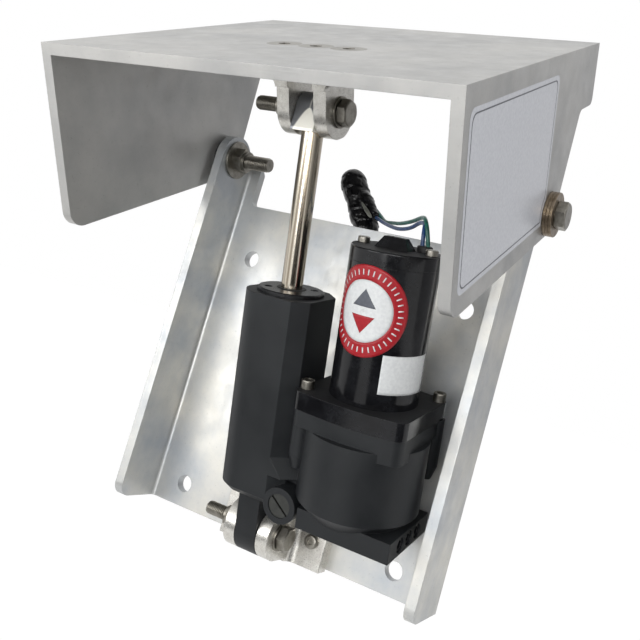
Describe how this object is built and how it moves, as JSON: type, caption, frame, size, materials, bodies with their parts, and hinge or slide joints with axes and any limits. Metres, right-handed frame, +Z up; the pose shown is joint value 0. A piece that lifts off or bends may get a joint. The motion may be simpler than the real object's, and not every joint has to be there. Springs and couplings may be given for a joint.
{
  "type": "jack plate",
  "caption": "Power tilt jack plate: two aluminium channel brackets hinged together, with an electric hydraulic ram between them that tilts the upper bracket.",
  "frame": {"origin": "centre of the four transom bolt holes, on the face that lies against the transom", "axes": "+Y out of the mounting face towards the boat, +Z up, +X to starboard; stored fully tilted"},
  "size_m": [0.3346, 0.2705, 0.4496],
  "materials": {
    "plate_aluminium": "brushed mill finish",
    "machined_aluminium": "machined satin",
    "stainless": "satin",
    "bronze_washer": "dull",
    "thrust_plastic": "satin",
    "chrome_rod": "polished",
    "eye_forging": "bright satin",
    "black_casting": "satin paint on casting",
    "gloss_black": "gloss",
    "black_anodised": "satin",
    "seal_rubber": "matt",
    "valve_steel": "dull",
    "ferrite": "matt",
    "core_steel": "laminated",
    "copper": "satin",
    "board": "matt",
    "carbon": "matt",
    "pump_iron": "machined",
    "lead_blue": "satin",
    "lead_green": "satin",
    "tape": "gloss tape"
  },
  "bodies": {
    "transom_bracket": {"transom_bracket": "plate_aluminium", "hinge_bolts": "stainless", "hinge_outer_washers": "bronze_washer", "hinge_spacers": "thrust_plastic", "hinge_inner_washers": "stainless", "hinge_nuts": "stainless", "lower_clevis": "machined_aluminium", "lower_clevis_screws": "stainless", "lower_pin_bolt": "stainless", "lower_pin_washers": "stainless", "lower_pin_nut": "stainless"},
    "motor_bracket": {"motor_bracket": "plate_aluminium", "upper_clevis": "machined_aluminium", "clevis_flat_screws": "stainless", "upper_pin_bolt": "stainless", "upper_pin_washers": "stainless", "upper_pin_nut": "stainless"},
    "rod": {"piston_rod": "chrome_rod", "rod_eye": "eye_forging", "piston": "machined_aluminium", "piston_seal": "seal_rubber"},
    "cylinder": {"cylinder_body": "black_casting", "gland_nut": "black_anodised", "gland_seal": "seal_rubber", "wiper_seal": "seal_rubber", "port_plugs": "gloss_black", "pump_adapter": "gloss_black", "adapter_screws": "stainless", "motor_can": "gloss_black", "motor_end_cap": "gloss_black", "motor_through_screws": "stainless", "shaft_bushes": "copper", "field_magnets": "ferrite", "brush_plate": "board", "brushes": "carbon", "pump_body": "pump_iron", "pump_end_plate": "pump_iron", "lead_grommet": "seal_rubber", "blue_lead": "lead_blue", "green_lead": "lead_green", "lead_boot": "tape"},
    "release_valve": {"release_valve": "valve_steel"},
    "armature": {"armature_shaft": "core_steel", "armature_core": "core_steel", "commutator": "copper", "drive_gear": "pump_iron"},
    "idler": {"idler_gear": "pump_iron"}
  },
  "joints": [
    {"name": "tilt_hinge", "type": "hinge", "parent": "transom_bracket", "child": "motor_bracket", "pos_m": [0, -0.03175, 0.1833], "axis": [1, 0, 0], "range_deg": [0, 58.83]},
    {"name": "upper_pivot", "type": "hinge", "parent": "motor_bracket", "child": "rod", "pos_m": [0, -0.13328, 0.20393], "axis": [1, 0, 0], "range_deg": [-59.54, 0]},
    {"name": "ram_slide", "type": "slide", "parent": "rod", "child": "cylinder", "axis": [0, -0.2829, 0.9592], "range_m": [0, 0.10174]},
    {"name": "release_turn", "type": "hinge", "parent": "cylinder", "child": "release_valve", "pos_m": [0.0318, -0.08193, -0.07272], "axis": [0, -0.9592, -0.2829], "range_deg": [0, 360]},
    {"name": "armature_spin", "type": "hinge", "parent": "cylinder", "child": "armature", "pos_m": [0.077, -0.07164, 0.00903], "axis": [0, -0.2829, 0.9592], "continuous": true},
    {"name": "idler_spin", "type": "hinge", "parent": "cylinder", "child": "idler", "pos_m": [0.093, -0.07164, 0.00903], "axis": [0, -0.2829, 0.9592], "continuous": true}
  ],
  "couplings": [
    {"joint": "upper_pivot", "follows": "tilt_hinge", "ratio": -1.0119},
    {"joint": "ram_slide", "follows": "tilt_hinge", "m_per_rad": 0.099066},
    {"joint": "idler_spin", "follows": "armature_spin", "ratio": -1}
  ]
}
